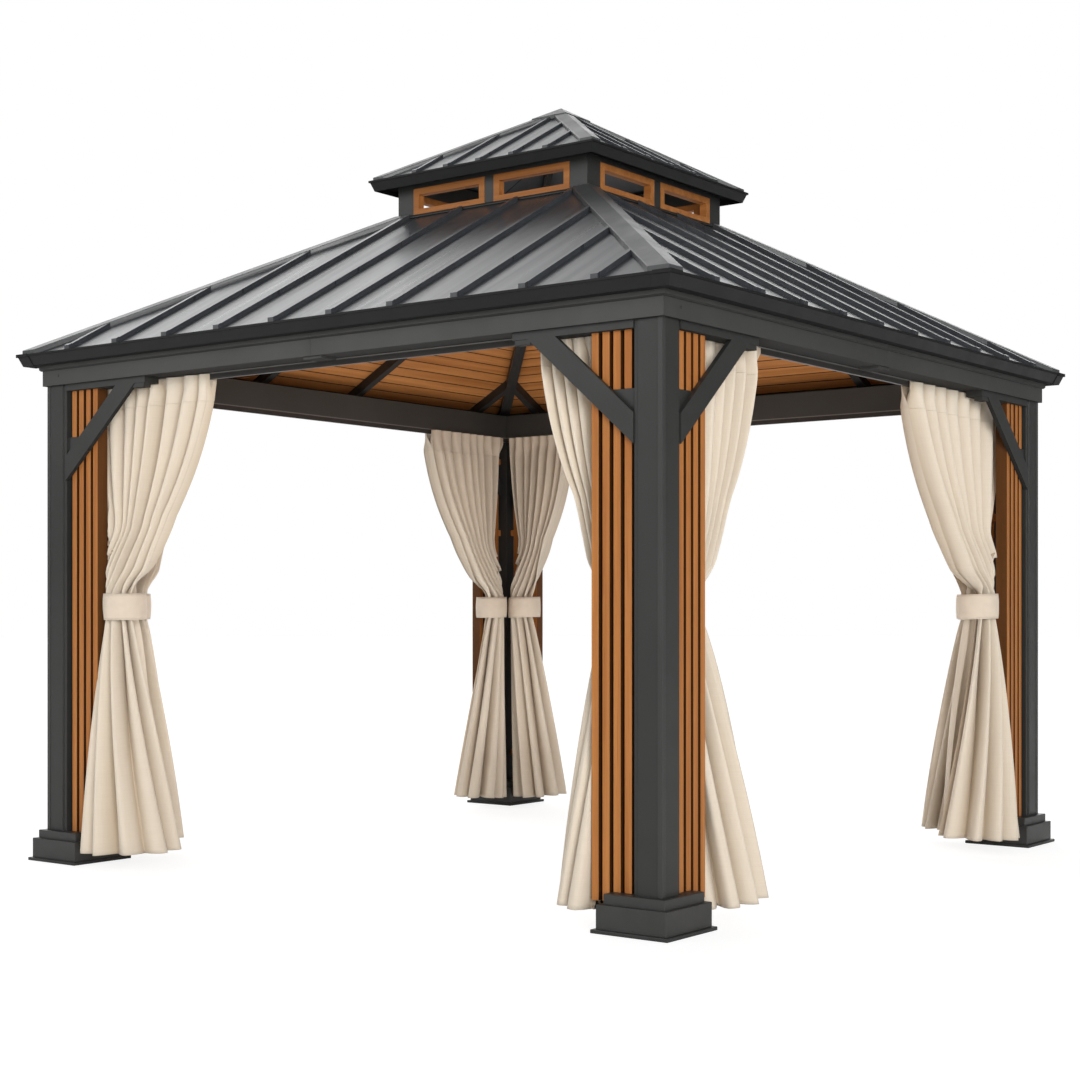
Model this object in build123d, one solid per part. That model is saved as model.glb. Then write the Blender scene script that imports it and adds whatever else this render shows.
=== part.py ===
"""Metal gazebo with a two-tier hard roof, slatted corner wings and tied-back curtains.

Millimetres. The origin is on the ground at the centre of the plan, +Z is up and -Y is the front.
Each side is drawn once as the front and turned about Z. In a side's section, r is the distance
out from the centre and z the height; along a face, u is the distance from the middle of the face.
"""
import os
from math import cos, pi, sin, sqrt

from build123d import *

os.makedirs("parts", exist_ok=True)

SIDES = ["front", "right", "back", "left"]
CORNERS = ["front_right", "back_right", "back_left", "front_left"]
FAR = 2000.0          # longer than any piece, for cutting tools
TALL = 3500.0         # higher than the whole gazebo

# Feet
BASE_CENTRE = 1381.2
PLATE_HALF = 143.0
PLATE_T = 12.0
ANCHOR_HALF = 100.0
ANCHOR_R = 6.0
LOWER_TIER_HALF = 130.5
LOWER_TIER_TOP = 89.2
UPPER_TIER_HALF = 113.4
UPPER_TIER_TOP = 121.0
SHEET_T = 3.0
POST_HOLE_GAP = 0.5

# Posts
POST_OUTER = 1468.7
POST_SIZE = 107.0
POST_INNER = POST_OUTER - POST_SIZE
REBATE_W = 17.0
REBATE_D = 6.0
TUBE_WALL = 3.0

# Beams and gutters
BEAM_OUTER = 1483.8
BEAM_BOTTOM = 1893.6
BEAM_TOP = 2006.0
CROWN_BOTTOM = 1953.5
CROWN_PROUD = 10.2
GUTTER_BOTTOM = 1972.8
GUTTER_FOOT_R = 1536.1
GUTTER_LIP_R = 1556.2
GUTTER_LIP_TOP = 2016.6
GUTTER_LIP_H = 8.0
GUTTER_LIP_W = 6.0
GUTTER_BACK_TOP = 2027.0
SPLICE_GROOVE = 2.0
SPLICE_PLATE_L = 88.0
SPLICE_PLATE_H = 9.0

# Main roof
EAVE_R = 1540.0
EAVE_Z = 2014.5
COLLAR_R = 478.0
COLLAR_Z = 2600.0
ROOF_SLOPE = (COLLAR_Z - EAVE_Z) / (EAVE_R - COLLAR_R)
RIB_PITCH = 281.0
RIB_W = 20.0
RIB_H = 18.0
RIB_COUNT = 10
RIB_CAP_W = 28.0
RIB_CAP_L = 14.0
RIB_CAP_EXTRA = 3.0
RIB_TOP_GAP = 10.0
HIP_HALF = 55.0
HIP_T = 3.0
CORNER_SKIN = 2.0
CORNER_FOOT_L = 82.0
CORNER_LIP_L = 66.0
CORNER_LAP = 20.5

# Ceiling and rafters
BOARD_T = 12.0
BOARD_PITCH = 56.0
GROOVE_W = 4.0
GROOVE_D = 3.0
RAFTER_H = 45.0
RAFTER_W = 40.0
HIP_RAFTER_HALF = 25.0
RAFTERS_U = {"front": 650.0, "right": 310.0, "back": 650.0, "left": 310.0}
JACK_U = 1220.0

# Cupola
WALL_T = 30.0
DRIP_FLANGE = 8.0
SILL_TOP = 2611.0
HEAD_Z = 2716.0
MULLION_HALF = 23.0
WINDOW_U = 394.0
FRAME_SIDE = 28.0
FRAME_FOOT = 21.0
FRAME_TOP = 26.0
FRAME_PROUD = 2.0
SOFFIT_Z = 2737.0
CUPOLA_FOOT_R = 547.0
CUPOLA_FOOT_Z = 2715.6
CUPOLA_LIP_R = 565.0
CUPOLA_LIP_TOP = 2758.0
CUPOLA_LIP_W = 5.0
CUPOLA_EAVE_R = 552.0
CUPOLA_EAVE_Z = 2757.0
CUPOLA_APEX_Z = 3067.3
CUPOLA_SLOPE = (CUPOLA_APEX_Z - CUPOLA_EAVE_Z) / CUPOLA_EAVE_R
CUPOLA_RIB_PITCH = 165.0
CUPOLA_RIB_H = 12.0
CUPOLA_RIB_W = 16.0
CUPOLA_RIB_CAP_W = 24.0
CUPOLA_RIB_COUNT = 5
CUPOLA_HIP_HALF = 40.0
APEX_CAP_R = 88.0
APEX_CAP_T = 4.0
APEX_GAP = 1.0
CUPOLA_SHEET_REACH = 1.0

# Slatted wings, rails and braces
SLAT_OUTER = 1448.7
SLAT_INNER = 1398.7
SLAT_FIRST_U = 1343.8
SLAT_W = 28.0
SLAT_GAP = 14.0
SLAT_COUNT = 4
WING_END_U = SLAT_FIRST_U - SLAT_COUNT * SLAT_W - (SLAT_COUNT - 1) * SLAT_GAP
SPACER_T = 10.0
SPACER_H = 30.0
SPACERS_Z = [260.0, 820.0, 1400.0, 1770.0]
MID_RAIL_BOTTOM = 1600.0
MID_RAIL_TOP = 1685.0
MID_RAIL_END_U = SLAT_FIRST_U - 2 * SLAT_W - SLAT_GAP
HEAD_RAIL_BOTTOM = 1869.0
HEAD_RAIL_END_U = 890.0
BRACE_T = 18.0
BRACE_FOOT_Z = 1513.0
BRACE_LEG = 96.0
BRACE_TOP_U = 1061.7     # where its upper edge meets the head rail
BRACE_BLOCK_L = 62.0
BRACE_BLOCK_LAP = 10.0
BRACE_BLOCK_H = 16.0

# Curtains
TRACK_R = 1362.5
TRACK_W = 14.0
TRACK_BOTTOM = 1869.6
TRACK_LIP_W = 1.0
TRACK_LIP_H = 4.0
HEADER_R = 1371.0
HEADER_HALF_R = 21.0
HEADER_OUTER_U = 1333.0
TIE_LOW = 962.0
TIE_HIGH = 1065.0
TIE_T = 3.0
TIE_GAP = 1.5
POCKET_Z = 1780.0
SAG_Z = 1420.0
SAG = 0.55            # how far the cloth has come from the header to the waist at SAG_Z
SKIRT_Z = 460.0
SKIRT = 0.62          # how far it has come from the waist to the hem at SKIRT_Z
HEM_Z = 45.0
FOLDS = 12
HEADER_PLEAT = 0.05   # the depth of a fold, as a share of the half width
TIE_PLEAT = 0.04
SKIRT_PLEAT = 0.07
HEM_PLEAT = 0.08
CURTAIN_CLEAR = 8.0


def section(points, half_length=FAR):
    """A bar of the front side with the outline points (r, z), running both ways along X."""
    outline = Polygon(*[(-r, z) for r, z in points], align=None)
    return extrude(Plane.YZ * outline, amount=half_length, both=True)


def plan_prism(points, low=0.0, high=TALL):
    """An upright prism over the plan outline points (x, y)."""
    outline = Plane.XY.offset(low) * Polygon(*points, align=None)
    return extrude(outline, amount=high - low, dir=(0, 0, 1))


def block(x, y, z):
    """A box between the two values of x, y and z."""
    size = [abs(b - a) for a, b in (x, y, z)]
    middle = [(a + b) / 2 for a, b in (x, y, z)]
    return Pos(*middle) * Box(*size)


def strip_along(u, width):
    """The upright space over a strip of the front side, running out from the centre."""
    return block((u - width / 2, u + width / 2), (-FAR, 0), (0, TALL))


def between_hips(reach):
    """The upright space over the front quarter of the plan, short of the hip lines by reach along X."""
    return plan_prism([(0, -reach), (-FAR + reach, -FAR), (FAR - reach, -FAR)])


FRONT_WEDGE = between_hips(0)


def turned(shape, quarter):
    """The shape turned about Z by quarter turns, from the front to the side of that number."""
    return shape.rotate(Axis.Z, 90 * quarter)


def mirrored(shape):
    """The shape's other hand: left for right."""
    return mirror(shape, about=Plane.YZ)


def ring(front_piece):
    """The four mitred sides of one piece, joined."""
    joined = front_piece
    for quarter in range(1, 4):
        joined = joined + turned(front_piece, quarter)
    return joined


def both_faces(front_piece, quarter):
    """What stands at one corner: the front piece's right end, and its left end on the next face."""
    return [turned(front_piece, quarter), turned(mirrored(front_piece), quarter + 1)]


def all_round(piece):
    """The piece at each of the four sides or corners, as separate solids."""
    return [turned(piece, quarter) for quarter in range(4)]


def save(shape, name):
    """Write one node; a list is written as separate solids."""
    if isinstance(shape, list):
        shape = Compound(children=[solid for item in shape for solid in item.solids()])
    export_step(shape, f"parts/{name}.step")


def roof_z(r):
    """Height of the main roof sheet's top at the distance r."""
    return COLLAR_Z + (COLLAR_R - r) * ROOF_SLOPE


def cupola_z(r):
    """Height of the cupola roof sheet's top at the distance r."""
    return CUPOLA_APEX_Z - r * CUPOLA_SLOPE


def slab(height, inner_r, outer_r, low, high):
    """A sloping slab of the front side between two offsets from the plane that height gives."""
    return section([
        (inner_r, height(inner_r) + low),
        (outer_r, height(outer_r) + low),
        (outer_r, height(outer_r) + high),
        (inner_r, height(inner_r) + high),
    ])


def hip_band(height, inner_r, outer_r, half_width, low, high):
    """A band folded over the front right hip, with half its width on each roof plane."""
    reach = half_width * sqrt(2)
    strip = plan_prism([
        (inner_r, -inner_r),
        (outer_r, -outer_r),
        (outer_r - reach, -outer_r),
        (inner_r - reach, -inner_r),
    ])
    front_half = slab(height, inner_r, outer_r, low, high) & strip & FRONT_WEDGE
    right_half = turned(mirrored(front_half), 1)
    return front_half + right_half


def foot_plate():
    """Steel plate under a post, with four anchor holes."""
    plate = block(
        (BASE_CENTRE - PLATE_HALF, BASE_CENTRE + PLATE_HALF),
        (-BASE_CENTRE - PLATE_HALF, -BASE_CENTRE + PLATE_HALF),
        (0, PLATE_T),
    )
    for x in (-ANCHOR_HALF, ANCHOR_HALF):
        for y in (-ANCHOR_HALF, ANCHOR_HALF):
            hole = Cylinder(ANCHOR_R, 3 * PLATE_T)
            plate = plate - Pos(BASE_CENTRE + x, -BASE_CENTRE + y, 0) * hole
    return plate


def tier(half, low, high):
    """A square block round a post's foot between two heights."""
    return block(
        (BASE_CENTRE - half, BASE_CENTRE + half),
        (-BASE_CENTRE - half, -BASE_CENTRE + half),
        (low, high),
    )


def base_cover():
    """The two-stepped sheet metal shroud round a post's foot."""
    lower = tier(LOWER_TIER_HALF, PLATE_T, LOWER_TIER_TOP)
    upper = tier(UPPER_TIER_HALF, PLATE_T, UPPER_TIER_TOP)
    lower = chamfer(lower.edges().group_by(Axis.Z)[-1], SHEET_T / 2)
    upper = chamfer(upper.edges().group_by(Axis.Z)[-1], SHEET_T / 2)
    inside = tier(LOWER_TIER_HALF - SHEET_T, PLATE_T, LOWER_TIER_TOP - SHEET_T)
    inside = inside + tier(UPPER_TIER_HALF - SHEET_T, PLATE_T, UPPER_TIER_TOP - SHEET_T)
    hole_low = POST_INNER - POST_HOLE_GAP
    hole_high = POST_OUTER + POST_HOLE_GAP
    post_hole = block((hole_low, hole_high), (-hole_high, -hole_low), (PLATE_T, TALL))
    return lower + upper - inside - post_hole


def post_outline(inset):
    """The post's section, measured in from its outer corner, with a rebate beside each wing."""
    step = POST_SIZE - REBATE_W - inset
    deep = REBATE_D + inset
    far = POST_SIZE - inset
    points = [
        (inset, inset), (step, inset), (step, deep), (far, deep),
        (far, far), (deep, far), (deep, step), (inset, step),
    ]
    return [(POST_OUTER - a, -POST_OUTER + b) for a, b in points]


def post():
    """Square tube with a rebate beside each wing."""
    tube = plan_prism(post_outline(0), PLATE_T, BEAM_BOTTOM)
    return tube - plan_prism(post_outline(TUBE_WALL), PLATE_T, BEAM_BOTTOM)


def mid_rail():
    """The short rail behind the brace's foot, where the two slats next to the post are cut."""
    return block(
        (MID_RAIL_END_U, POST_INNER),
        (-POST_OUTER + BRACE_T, -SLAT_INNER),
        (MID_RAIL_BOTTOM, MID_RAIL_TOP),
    )


def wing():
    """The slats beside a post on the front face, held by spacers and cut at the mid rail."""
    steps = tier(LOWER_TIER_HALF, 0, LOWER_TIER_TOP) + tier(UPPER_TIER_HALF, 0, UPPER_TIER_TOP)
    slats = None
    for number in range(SLAT_COUNT):
        near = SLAT_FIRST_U - number * (SLAT_W + SLAT_GAP)
        slat = block(
            (near - SLAT_W, near), (-SLAT_OUTER, -SLAT_INNER), (LOWER_TIER_TOP, HEAD_RAIL_BOTTOM)
        )
        slats = slat if slats is None else slats + slat
    for z in SPACERS_Z:
        slats = slats + block(
            (WING_END_U, POST_INNER),
            (-SLAT_INNER - SPACER_T, -SLAT_INNER),
            (z - SPACER_H / 2, z + SPACER_H / 2),
        )
    return slats - steps - mid_rail()


def rails_and_brace():
    """Head rail, mid rail and slanted brace beside a post on the front face, in one weldment."""
    brace_inner = POST_OUTER - BRACE_T
    head = block(
        (HEAD_RAIL_END_U, POST_INNER), (-POST_OUTER, -SLAT_INNER), (HEAD_RAIL_BOTTOM, BEAM_BOTTOM)
    )
    upper_foot = BRACE_FOOT_Z + BRACE_LEG
    run_per_rise = (POST_INNER - BRACE_TOP_U) / (HEAD_RAIL_BOTTOM - upper_foot)
    lower_top_u = BRACE_TOP_U - BRACE_LEG * run_per_rise
    outline = Polygon(
        (POST_INNER, BRACE_FOOT_Z),
        (POST_INNER, upper_foot),
        (BRACE_TOP_U, HEAD_RAIL_BOTTOM),
        (lower_top_u, HEAD_RAIL_BOTTOM),
        align=None,
    )
    brace = extrude(Plane.XZ.offset(brace_inner) * outline, amount=BRACE_T, dir=(0, -1, 0))
    block_end = lower_top_u + BRACE_BLOCK_LAP
    stop = block(
        (block_end - BRACE_BLOCK_L, block_end),
        (-POST_OUTER + SHEET_T, -SLAT_OUTER + BRACE_T),
        (HEAD_RAIL_BOTTOM - BRACE_BLOCK_H, HEAD_RAIL_BOTTOM),
    )
    return head + mid_rail() + brace + stop


def beam():
    """Mitred hollow beam with a crown strip, spliced at the middle of its span."""
    crown_r = BEAM_OUTER + CROWN_PROUD
    bar = section([
        (POST_INNER, BEAM_BOTTOM),
        (BEAM_OUTER, BEAM_BOTTOM),
        (BEAM_OUTER, CROWN_BOTTOM),
        (BEAM_OUTER + CROWN_PROUD / 2, CROWN_BOTTOM),
        (crown_r, CROWN_BOTTOM + CROWN_PROUD / 2),
        (crown_r, GUTTER_BOTTOM),
        (BEAM_OUTER, GUTTER_BOTTOM),
        (BEAM_OUTER, BEAM_TOP),
        (POST_INNER, BEAM_TOP),
    ])
    hollow = section([
        (POST_INNER + TUBE_WALL, BEAM_BOTTOM + TUBE_WALL),
        (BEAM_OUTER - TUBE_WALL, BEAM_BOTTOM + TUBE_WALL),
        (BEAM_OUTER - TUBE_WALL, BEAM_TOP - TUBE_WALL),
        (POST_INNER + TUBE_WALL, BEAM_TOP - TUBE_WALL),
    ])
    half_groove = SPLICE_GROOVE / 2
    groove = block(
        (-half_groove, half_groove),
        (-crown_r, -BEAM_OUTER + half_groove),
        (BEAM_BOTTOM, GUTTER_BOTTOM),
    )
    plate = block(
        (-SPLICE_PLATE_L / 2, SPLICE_PLATE_L / 2),
        (-BEAM_OUTER + CROWN_PROUD, -SLAT_INNER),
        (BEAM_BOTTOM - SPLICE_PLATE_H, BEAM_BOTTOM),
    )
    return (bar - hollow - groove + plate) & FRONT_WEDGE


def gutter_front_points():
    """The gutter's outer line from its foot to its lip."""
    return [
        (GUTTER_FOOT_R, GUTTER_BOTTOM),
        (GUTTER_LIP_R - GUTTER_LIP_W, GUTTER_LIP_TOP - GUTTER_LIP_H),
        (GUTTER_LIP_R, GUTTER_LIP_TOP - GUTTER_LIP_H),
        (GUTTER_LIP_R, GUTTER_LIP_TOP),
    ]


def gutter():
    """Open channel with a sloping face and a rolled lip, hung on the beam's face."""
    bar = section(
        [(BEAM_OUTER, GUTTER_BOTTOM)]
        + gutter_front_points()
        + [
            (GUTTER_LIP_R - GUTTER_LIP_W - SHEET_T, GUTTER_LIP_TOP),
            (GUTTER_FOOT_R - SHEET_T, GUTTER_BOTTOM + SHEET_T),
            (BEAM_OUTER + SHEET_T, GUTTER_BOTTOM + SHEET_T),
            (BEAM_OUTER + SHEET_T, GUTTER_BACK_TOP),
            (BEAM_OUTER, GUTTER_BACK_TOP),
        ]
    )
    return bar & FRONT_WEDGE


def gutter_corner():
    """Thin cover with slanting ends over the gutter's front right mitre."""
    lap_r = GUTTER_FOOT_R - CORNER_LAP
    step_r = GUTTER_LIP_R - GUTTER_LIP_W
    lip_low = GUTTER_LIP_TOP - GUTTER_LIP_H
    wall = section(
        [(lap_r, GUTTER_BOTTOM)]
        + gutter_front_points()
        + [
            (step_r, GUTTER_LIP_TOP),
            (step_r, GUTTER_LIP_TOP + CORNER_SKIN),
            (GUTTER_LIP_R + CORNER_SKIN, GUTTER_LIP_TOP + CORNER_SKIN),
            (GUTTER_LIP_R + CORNER_SKIN, lip_low - CORNER_SKIN),
            (step_r + CORNER_SKIN, lip_low - CORNER_SKIN),
            (GUTTER_FOOT_R + CORNER_SKIN, GUTTER_BOTTOM - CORNER_SKIN),
            (lap_r, GUTTER_BOTTOM - CORNER_SKIN),
        ]
    )
    side_view = Polygon(
        (GUTTER_LIP_R - CORNER_LIP_L, TALL),
        (GUTTER_LIP_R - CORNER_LIP_L, GUTTER_LIP_TOP),
        (GUTTER_LIP_R - CORNER_FOOT_L, GUTTER_BOTTOM - CORNER_SKIN),
        (GUTTER_LIP_R - CORNER_FOOT_L, 0),
        (FAR, 0),
        (FAR, TALL),
        align=None,
    )
    end = extrude(Plane.XZ * side_view, amount=FAR, dir=(0, -1, 0))
    front_half = wall & end & FRONT_WEDGE
    return front_half + turned(mirrored(front_half), 1)


def ribbed_roof(height, wedge, radii, seams_at, rib, hip_half):
    """A roof sheet of the front side with its standing seams.

    radii are the sheet's inner and outer r and the seams' inner r; rib is width, height, cap width.
    """
    inner_r, outer_r, rib_inner_r = radii
    width, tall, cap_width = rib
    sheet = slab(height, inner_r, outer_r, -SHEET_T, 0) & wedge
    clear_of_hips = between_hips(hip_half * sqrt(2))
    run = slab(height, rib_inner_r, outer_r, 0, tall)
    end = slab(height, outer_r - RIB_CAP_L, outer_r, 0, tall + RIB_CAP_EXTRA)
    seams = None
    for u in seams_at:
        seam = run & strip_along(u, width)
        cap = end & strip_along(u, cap_width)
        seam = (seam + cap) & clear_of_hips
        seams = seam if seams is None else seams + seam
    return sheet + seams


def evenly(count, pitch):
    """Places at that pitch, about the middle."""
    return [(number - (count - 1) / 2) * pitch for number in range(count)]


def main_roof():
    """One slope of the main roof."""
    radii = (COLLAR_R, EAVE_R, COLLAR_R + RIB_TOP_GAP)
    rib = (RIB_W, RIB_H, RIB_CAP_W)
    return ribbed_roof(roof_z, FRONT_WEDGE, radii, evenly(RIB_COUNT, RIB_PITCH), rib, HIP_HALF)


def cupola_roof():
    """One slope of the cupola's roof. Its neighbours stand a hair away, under the hip caps."""
    radii = (0, CUPOLA_EAVE_R, APEX_CAP_R + APEX_GAP)
    seams_at = evenly(CUPOLA_RIB_COUNT, CUPOLA_RIB_PITCH)
    rib = (CUPOLA_RIB_W, CUPOLA_RIB_H, CUPOLA_RIB_CAP_W)
    wedge = between_hips(CUPOLA_SHEET_REACH)
    return ribbed_roof(cupola_z, wedge, radii, seams_at, rib, CUPOLA_HIP_HALF)


def ceiling():
    """Boards of the front slope, parallel to the eave, parted by narrow grooves."""
    low = -SHEET_T - BOARD_T
    outer_r = BEAM_OUTER + SHEET_T
    under = [(COLLAR_R, roof_z(COLLAR_R) + low)]
    r = COLLAR_R + BOARD_PITCH
    while r < outer_r - BOARD_PITCH / 2:
        under.append((r - GROOVE_W / 2, roof_z(r - GROOVE_W / 2) + low))
        under.append((r, roof_z(r) + low + GROOVE_D))
        under.append((r + GROOVE_W / 2, roof_z(r + GROOVE_W / 2) + low))
        r += BOARD_PITCH
    under.append((outer_r, roof_z(outer_r) + low))
    top = [(outer_r, roof_z(outer_r) - SHEET_T), (COLLAR_R, roof_z(COLLAR_R) - SHEET_T)]
    return section(under + top) & FRONT_WEDGE


RAFTER_HIGH = -SHEET_T - BOARD_T
RAFTER_LOW = RAFTER_HIGH - RAFTER_H
UNDER_BEAM_TOP = block((-FAR, FAR), (-FAR, FAR), (0, BEAM_TOP))


def hip_rafter():
    """The rafter under the front right hip, seated on the beams' corner."""
    bar = hip_band(roof_z, COLLAR_R, BEAM_OUTER, HIP_RAFTER_HALF, RAFTER_LOW, RAFTER_HIGH)
    return bar - UNDER_BEAM_TOP


def rafters():
    """Common and jack rafters under the boards, seated on the beams and cut to the hips."""
    run = slab(roof_z, COLLAR_R, BEAM_OUTER, RAFTER_LOW, RAFTER_HIGH)
    run = (run & between_hips(HIP_RAFTER_HALF * sqrt(2))) - UNDER_BEAM_TOP
    bars = []
    for quarter, side in enumerate(SIDES):
        for u in (RAFTERS_U[side], JACK_U):
            bar = run & strip_along(u, RAFTER_W)
            bars.append(turned(bar, quarter))
            bars.append(turned(mirrored(bar), quarter))
    return bars


def collar():
    """Square curb that the rafters butt and the cupola stands on."""
    low = roof_z(COLLAR_R) - SHEET_T - BOARD_T - RAFTER_H
    outer = Box(2 * COLLAR_R, 2 * COLLAR_R, COLLAR_Z - low)
    inner = Box(2 * (COLLAR_R - WALL_T), 2 * (COLLAR_R - WALL_T), TALL)
    return Pos(0, 0, (COLLAR_Z + low) / 2) * (outer - inner)


def cupola_sill():
    """Bottom rail of the cupola with a drip flange over the roof sheet."""
    front = section([
        (COLLAR_R - WALL_T, COLLAR_Z),
        (COLLAR_R + DRIP_FLANGE, COLLAR_Z),
        (COLLAR_R + DRIP_FLANGE, COLLAR_Z + SHEET_T),
        (COLLAR_R + SHEET_T, SILL_TOP),
        (COLLAR_R - WALL_T, SILL_TOP),
    ]) & FRONT_WEDGE
    return ring(front)


def cupola_posts():
    """Corner posts and middle mullions of the cupola."""
    corner = block((WINDOW_U, COLLAR_R), (-COLLAR_R, -COLLAR_R + WALL_T), (SILL_TOP, HEAD_Z))
    corner = corner + turned(mirrored(corner), 1)
    mullion = block(
        (-MULLION_HALF, MULLION_HALF), (-COLLAR_R, -COLLAR_R + WALL_T), (SILL_TOP, HEAD_Z)
    )
    return all_round(corner) + all_round(mullion)


def cupola_head():
    """Top rail of the cupola, which carries its roof."""
    top = cupola_z(COLLAR_R) - SHEET_T
    rail = section([
        (COLLAR_R - WALL_T, HEAD_Z),
        (COLLAR_R, HEAD_Z),
        (COLLAR_R, top),
        (COLLAR_R - WALL_T, top),
    ]) & FRONT_WEDGE
    return ring(rail)


def cupola_rafters():
    """Four hip bars that meet under the cupola's apex."""
    return ring(hip_band(
        cupola_z, 0, COLLAR_R - WALL_T, WALL_T / 2, -SHEET_T - WALL_T, -SHEET_T
    ))


def cupola_window():
    """Open wooden frame in the right half of the cupola's front."""
    outer = block(
        (MULLION_HALF, WINDOW_U),
        (-COLLAR_R - FRAME_PROUD, -COLLAR_R + WALL_T),
        (SILL_TOP, HEAD_Z),
    )
    hole = block(
        (MULLION_HALF + FRAME_SIDE, WINDOW_U - FRAME_SIDE),
        (-FAR, 0),
        (SILL_TOP + FRAME_FOOT, HEAD_Z - FRAME_TOP),
    )
    return outer - hole


def cupola_eave():
    """Soffit and sloping fascia round the cupola's roof."""
    slope_r = CUPOLA_LIP_R - CUPOLA_LIP_W
    front = section([
        (COLLAR_R, SOFFIT_Z),
        (CUPOLA_FOOT_R, SOFFIT_Z),
        (CUPOLA_FOOT_R - SHEET_T, CUPOLA_FOOT_Z),
        (CUPOLA_FOOT_R, CUPOLA_FOOT_Z),
        (slope_r, CUPOLA_LIP_TOP - GUTTER_LIP_H),
        (CUPOLA_LIP_R, CUPOLA_LIP_TOP - GUTTER_LIP_H),
        (CUPOLA_LIP_R, CUPOLA_LIP_TOP),
        (slope_r - SHEET_T, CUPOLA_LIP_TOP),
        (CUPOLA_FOOT_R + SHEET_T, SOFFIT_Z + SHEET_T),
        (COLLAR_R, SOFFIT_Z + SHEET_T),
    ]) & FRONT_WEDGE
    return ring(front)


def apex_cap():
    """Small pyramid cap with a skirt, over the tops of the seams and hip bands."""
    low = CUPOLA_RIB_H + HIP_T
    skirt_r = APEX_CAP_R - APEX_CAP_T
    front = section([
        (0, cupola_z(0) + low),
        (skirt_r, cupola_z(skirt_r) + low),
        (skirt_r, cupola_z(skirt_r)),
        (APEX_CAP_R, cupola_z(skirt_r)),
        (APEX_CAP_R, cupola_z(APEX_CAP_R) + low + APEX_CAP_T),
        (0, cupola_z(0) + low + APEX_CAP_T),
    ]) & FRONT_WEDGE
    return ring(front)


def curtain_track():
    """Curtain rail under a beam's inner edge, between the posts, with a lip along its inner side."""
    outline = [
        (TRACK_R, TRACK_BOTTOM),
        (TRACK_R + TRACK_W, TRACK_BOTTOM),
        (TRACK_R + TRACK_W, BEAM_BOTTOM),
        (TRACK_R - TRACK_LIP_W, BEAM_BOTTOM),
        (TRACK_R - TRACK_LIP_W, BEAM_BOTTOM - TRACK_LIP_H),
        (TRACK_R, BEAM_BOTTOM - TRACK_LIP_H),
    ]
    return section(outline, POST_INNER)


# Where each curtain hangs, along its face (u) and out from the centre (r):
# the header's free end, the tied waist (u, r, radius) and the hem (u, r, radius).
CURTAINS = {
    "front_right_end": (930.0, (1220.0, 1310.0, 80.0), (1170.0, 1330.0, 165.0)),
    "right_front_end": (725.0, (1102.0, 1310.0, 80.0), (1000.0, 1360.0, 165.0)),
    "right_back_end": (400.0, (1043.0, 1390.0, 80.0), (1040.0, 1342.0, 198.0)),
    "back_right_end": (891.0, (1255.0, 1305.0, 78.0), (1130.0, 1290.0, 128.0)),
    "back_left_end": (955.0, (1223.0, 1310.0, 74.0), (1109.0, 1330.0, 135.0)),
    "left_back_end": (750.0, (1173.0, 1310.0, 74.0), (1090.0, 1330.0, 150.0)),
    "left_front_end": (700.0, (1160.0, 1310.0, 78.0), (1060.0, 1310.0, 132.0)),
    "front_left_end": (626.0, (1098.0, 1390.0, 80.0), (1085.0, 1342.0, 198.0)),
}
# Each face's curtain at its turned right end, then at its turned left end.
FACE_ENDS = [
    ("front_right_end", "front_left_end"),
    ("right_back_end", "right_front_end"),
    ("back_left_end", "back_right_end"),
    ("left_front_end", "left_back_end"),
]


def part_way(start, end, share):
    """The values that lie that share of the way from start to end."""
    return tuple(a + (b - a) * share for a, b in zip(start, end))


def pleated_wire(z, middle, half_r, squareness, pleat):
    """A closed zigzag outline of folds at one height, boxier as squareness nears 0.

    middle is u, r and the half width along the face; half_r is the half depth.
    """
    u, r, half_u = middle
    points = []
    steps = 2 * FOLDS
    for number in range(steps):
        angle = 2 * pi * (number + 0.5) / steps
        ripple = 1 + pleat * (-1) ** number
        c = cos(angle)
        s = sin(angle)
        across = half_u * ripple * abs(c) ** squareness * (1 if c > 0 else -1)
        out = half_r * ripple * abs(s) ** squareness * (1 if s > 0 else -1)
        points.append((u + across, -(r + out), z))
    return Wire.make_polygon(points, close=True)


def curtain(header_end, waist, hem):
    """A tied-back curtain at the right end of the front face, clear of the wing and the foot.

    One that is tied outside the track's plane also spreads in front of the wing.
    """
    half_header = (HEADER_OUTER_U - header_end) / 2
    header = (HEADER_OUTER_U - half_header, HEADER_R, half_header)
    sag_u, sag_r, sag_half = part_way(header, waist, SAG)
    levels = [
        (TRACK_BOTTOM, header, HEADER_HALF_R, 0.5, HEADER_PLEAT),
        (POCKET_Z, header, HEADER_HALF_R, 0.5, HEADER_PLEAT),
        (SAG_Z, (sag_u, sag_r, sag_half), waist[2] * SAG, 0.7, HEADER_PLEAT),
        (TIE_HIGH, waist, waist[2], 1.0, TIE_PLEAT),
        (TIE_LOW, waist, waist[2], 1.0, TIE_PLEAT),
    ]
    skirt = part_way(waist, hem, SKIRT)
    levels.append((SKIRT_Z, skirt, skirt[2], 1.0, SKIRT_PLEAT))
    levels.append((HEM_Z, hem, hem[2], 1.0, HEM_PLEAT))
    body = Solid.make_loft([pleated_wire(*level) for level in levels], ruled=True)
    tied_outside = waist[1] > TRACK_R
    wing_front = SLAT_OUTER + CURTAIN_CLEAR / 2 if tied_outside else FAR
    beside_wing = block(
        (WING_END_U - CURTAIN_CLEAR, FAR),
        (-wing_front, -SLAT_INNER + CURTAIN_CLEAR / 2),
        (LOWER_TIER_TOP - CURTAIN_CLEAR, TALL),
    )
    foot_edge = BASE_CENTRE - PLATE_HALF - CURTAIN_CLEAR
    over_foot = block((foot_edge, FAR), (-FAR, -foot_edge), (0, UPPER_TIER_TOP + CURTAIN_CLEAR))
    return body - beside_wing - over_foot


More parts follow.
